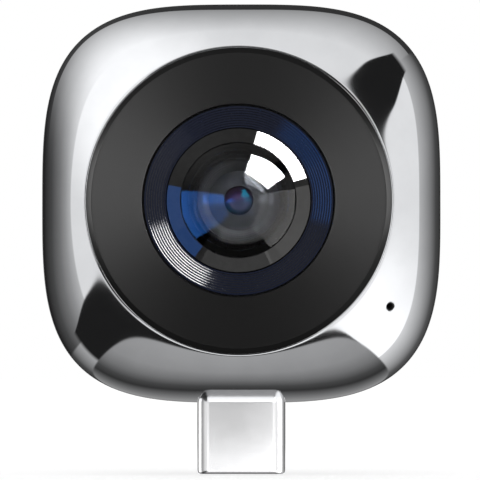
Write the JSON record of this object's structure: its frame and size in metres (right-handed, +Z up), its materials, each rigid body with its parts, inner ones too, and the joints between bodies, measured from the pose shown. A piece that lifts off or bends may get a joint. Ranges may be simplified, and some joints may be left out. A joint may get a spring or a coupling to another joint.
{
  "type": "360 degree camera",
  "caption": "Pocket camera that sees all round: a rounded-square mirror-bright body with a black lens plate and a bulging wide lens on each face, on a flat phone plug.",
  "frame": {"origin": "middle of the plug's tip, where it bottoms in the phone's socket", "axes": "+Z up along the plug into the body, the front lens looks along -Y, +X to the right as seen from the front"},
  "size_m": [0.0372, 0.0264, 0.0439],
  "materials": {
    "mirror_plating": "mirror-bright plating over a moulded shell",
    "black_anodised": "satin black anodised, fine turned finish",
    "foam_tape": "matt adhesive foam",
    "screw_steel": "plain steel",
    "black_satin": "satin black with fine turned grooves",
    "black_gloss": "polished black",
    "lens_glass": "clear, with a blue coating",
    "barrel_black": "matt black anodised",
    "holder_plastic": "matt black moulding",
    "filter_glass": "clear, with a faint cyan tint",
    "sensor_package": "dark package with a glassy top",
    "board_green": "dark green solder mask",
    "connector_plastic": "matt black moulding",
    "frame_alloy": "cast, lightly blasted",
    "chip_epoxy": "matt black epoxy",
    "can_steel": "tin-plated sheet",
    "passive_tan": "fired body with bright ends",
    "boot_rubber": "matt",
    "mesh_grey": "fine woven mesh",
    "flex_amber": "amber film over copper",
    "plug_nickel": "bright nickel plating",
    "insulator_black": "black moulding",
    "contact_gold": "gold-plated copper alloy",
    "latch_steel": "spring steel"
  },
  "bodies": {
    "camera": {"front_shell": "mirror_plating", "rear_shell": "mirror_plating", "front_plate": "black_anodised", "rear_plate": "black_anodised", "front_plate_tape": "foam_tape", "rear_plate_tape": "foam_tape", "front_shell_screws": "screw_steel", "rear_shell_screws": "screw_steel", "front_groove_ring": "black_satin", "rear_groove_ring": "black_satin", "front_retaining_ring": "black_gloss", "rear_retaining_ring": "black_gloss", "front_dome_lens": "lens_glass", "rear_dome_lens": "lens_glass", "front_second_lens": "lens_glass", "rear_second_lens": "lens_glass", "front_third_lens": "lens_glass", "rear_third_lens": "lens_glass", "front_rear_lens": "lens_glass", "rear_rear_lens": "lens_glass", "front_barrel": "barrel_black", "rear_barrel": "barrel_black", "front_lens_holder": "holder_plastic", "rear_lens_holder": "holder_plastic", "front_lens_screws": "screw_steel", "rear_lens_screws": "screw_steel", "front_infrared_filter": "filter_glass", "rear_infrared_filter": "filter_glass", "front_image_sensor": "sensor_package", "rear_image_sensor": "sensor_package", "front_sensor_board": "board_green", "rear_sensor_board": "board_green", "front_board_link": "connector_plastic", "rear_board_link": "connector_plastic", "mid_frame": "frame_alloy", "main_board": "board_green", "board_screws": "screw_steel", "processor": "chip_epoxy", "shield_can": "can_steel", "memory_chip": "chip_epoxy", "power_chip": "chip_epoxy", "crystal": "can_steel", "passive_parts": "passive_tan", "microphone": "can_steel", "mic_boot": "boot_rubber", "mic_mesh": "mesh_grey", "mic_flex": "flex_amber", "mic_connector": "connector_plastic", "plug_shell": "plug_nickel", "plug_insulator": "insulator_black", "contact_tails": "contact_gold", "latch_plate": "latch_steel"},
    "left_latch_arm": {"left_latch": "latch_steel"},
    "right_latch_arm": {"right_latch": "latch_steel"},
    "front_contact_row": {"front_contacts": "contact_gold"},
    "rear_contact_row": {"rear_contacts": "contact_gold"}
  },
  "joints": [
    {"name": "left_latch_spring", "type": "hinge", "parent": "camera", "child": "left_latch_arm", "pos_m": [-0.00346, 0, 0.0057], "axis": [0, 1, 0], "range_deg": [0, 1.8], "stiffness_Nm_per_rad": 0.02},
    {"name": "right_latch_spring", "type": "hinge", "parent": "camera", "child": "right_latch_arm", "pos_m": [0.00346, 0, 0.0057], "axis": [0, -1, 0], "range_deg": [0, 1.8], "stiffness_Nm_per_rad": 0.02},
    {"name": "front_contact_spring", "type": "hinge", "parent": "camera", "child": "front_contact_row", "pos_m": [0, -0.0004, 0.0057], "axis": [-1, 0, 0], "range_deg": [0, 1.5], "stiffness_Nm_per_rad": 0.02},
    {"name": "rear_contact_spring", "type": "hinge", "parent": "camera", "child": "rear_contact_row", "pos_m": [0, 0.0004, 0.0057], "axis": [1, 0, 0], "range_deg": [0, 1.5], "stiffness_Nm_per_rad": 0.02}
  ]
}
